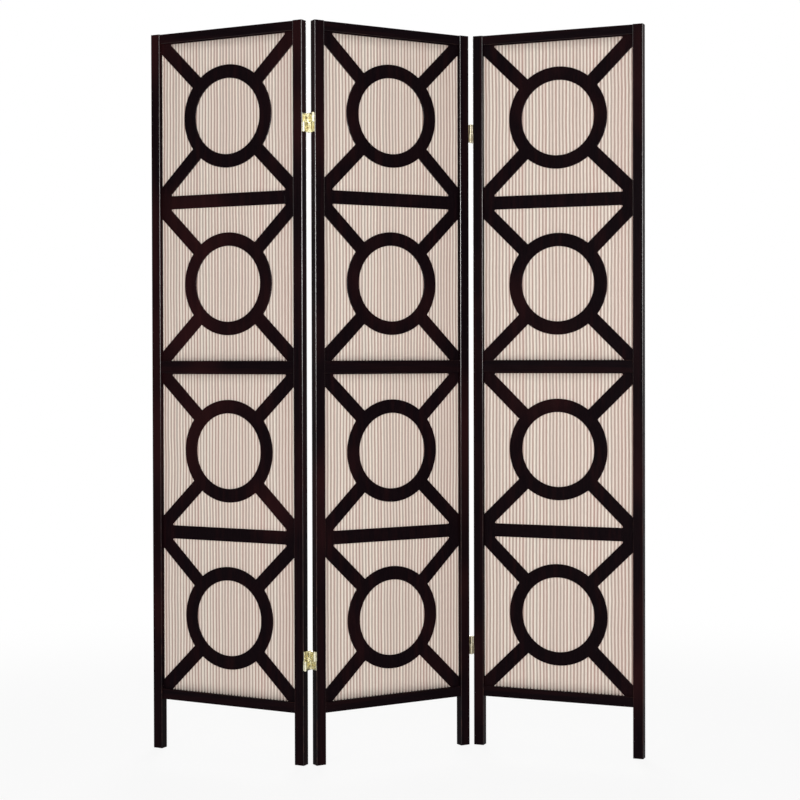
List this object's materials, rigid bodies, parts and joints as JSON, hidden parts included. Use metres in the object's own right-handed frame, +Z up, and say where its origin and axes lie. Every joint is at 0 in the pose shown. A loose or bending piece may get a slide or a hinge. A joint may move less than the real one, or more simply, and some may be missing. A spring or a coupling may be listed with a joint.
{
  "type": "folding screen",
  "caption": "Folding room screen of dark wood frames with ring-and-diagonal lattice boards over striped cloth, joined by double-acting brass hinges to stand in a zigzag or fold flat.",
  "frame": {"origin": "centre of the standing screen's box, on the floor, in the zigzag stance of the picture", "axes": "+Z up, +Y from the front of the screen to its back, +X to the right as seen from the front"},
  "size_m": [1.2165, 0.246, 1.79],
  "materials": {
    "frame_wood": "satin",
    "lattice_wood": "satin",
    "bead_wood": "satin",
    "striped_cloth": "woven",
    "hinge_brass": "satin",
    "pin_brass": "satin",
    "screw_brass": "satin"
  },
  "bodies": {
    "left_panel": {"left_panel_left_stile": "frame_wood", "left_panel_right_stile": "frame_wood", "left_panel_top_rail": "frame_wood", "left_panel_mid_rail": "frame_wood", "left_panel_bottom_rail": "frame_wood", "left_panel_upper_lattice": "lattice_wood", "left_panel_lower_lattice": "lattice_wood", "left_panel_upper_cloth": "striped_cloth", "left_panel_lower_cloth": "striped_cloth", "left_panel_upper_beads": "bead_wood", "left_panel_lower_beads": "bead_wood", "left_top_hinge_left_leaf": "hinge_brass", "left_top_hinge_lower_link": "hinge_brass", "left_bottom_hinge_left_leaf": "hinge_brass", "left_bottom_hinge_lower_link": "hinge_brass", "left_panel_hinge_pins": "pin_brass", "left_panel_hinge_screws": "screw_brass"},
    "centre_panel": {"centre_panel_left_stile": "frame_wood", "centre_panel_right_stile": "frame_wood", "centre_panel_top_rail": "frame_wood", "centre_panel_mid_rail": "frame_wood", "centre_panel_bottom_rail": "frame_wood", "centre_panel_upper_lattice": "lattice_wood", "centre_panel_lower_lattice": "lattice_wood", "centre_panel_upper_cloth": "striped_cloth", "centre_panel_lower_cloth": "striped_cloth", "centre_panel_upper_beads": "bead_wood", "centre_panel_lower_beads": "bead_wood", "left_top_hinge_right_leaf": "hinge_brass", "left_top_hinge_upper_link": "hinge_brass", "right_top_hinge_left_leaf": "hinge_brass", "right_top_hinge_upper_link": "hinge_brass", "left_bottom_hinge_right_leaf": "hinge_brass", "left_bottom_hinge_upper_link": "hinge_brass", "right_bottom_hinge_left_leaf": "hinge_brass", "right_bottom_hinge_upper_link": "hinge_brass", "centre_left_hinge_pins": "pin_brass", "centre_right_hinge_pins": "pin_brass", "centre_panel_hinge_screws": "screw_brass"},
    "right_panel": {"right_panel_left_stile": "frame_wood", "right_panel_right_stile": "frame_wood", "right_panel_top_rail": "frame_wood", "right_panel_mid_rail": "frame_wood", "right_panel_bottom_rail": "frame_wood", "right_panel_upper_lattice": "lattice_wood", "right_panel_lower_lattice": "lattice_wood", "right_panel_upper_cloth": "striped_cloth", "right_panel_lower_cloth": "striped_cloth", "right_panel_upper_beads": "bead_wood", "right_panel_lower_beads": "bead_wood", "right_top_hinge_right_leaf": "hinge_brass", "right_top_hinge_lower_link": "hinge_brass", "right_bottom_hinge_right_leaf": "hinge_brass", "right_bottom_hinge_lower_link": "hinge_brass", "right_panel_hinge_pins": "pin_brass", "right_panel_hinge_screws": "screw_brass"}
  },
  "joints": [
    {"name": "left_fold", "type": "hinge", "parent": "centre_panel", "child": "left_panel", "pos_m": [-0.20981, -0.09898, 0.895], "axis": [0, 0, -1], "range_deg": [-58, 122]},
    {"name": "right_fold", "type": "hinge", "parent": "centre_panel", "child": "right_panel", "pos_m": [0.19433, 0.09806, 0.895], "axis": [0, 0, -1], "range_deg": [-53, 127]}
  ]
}
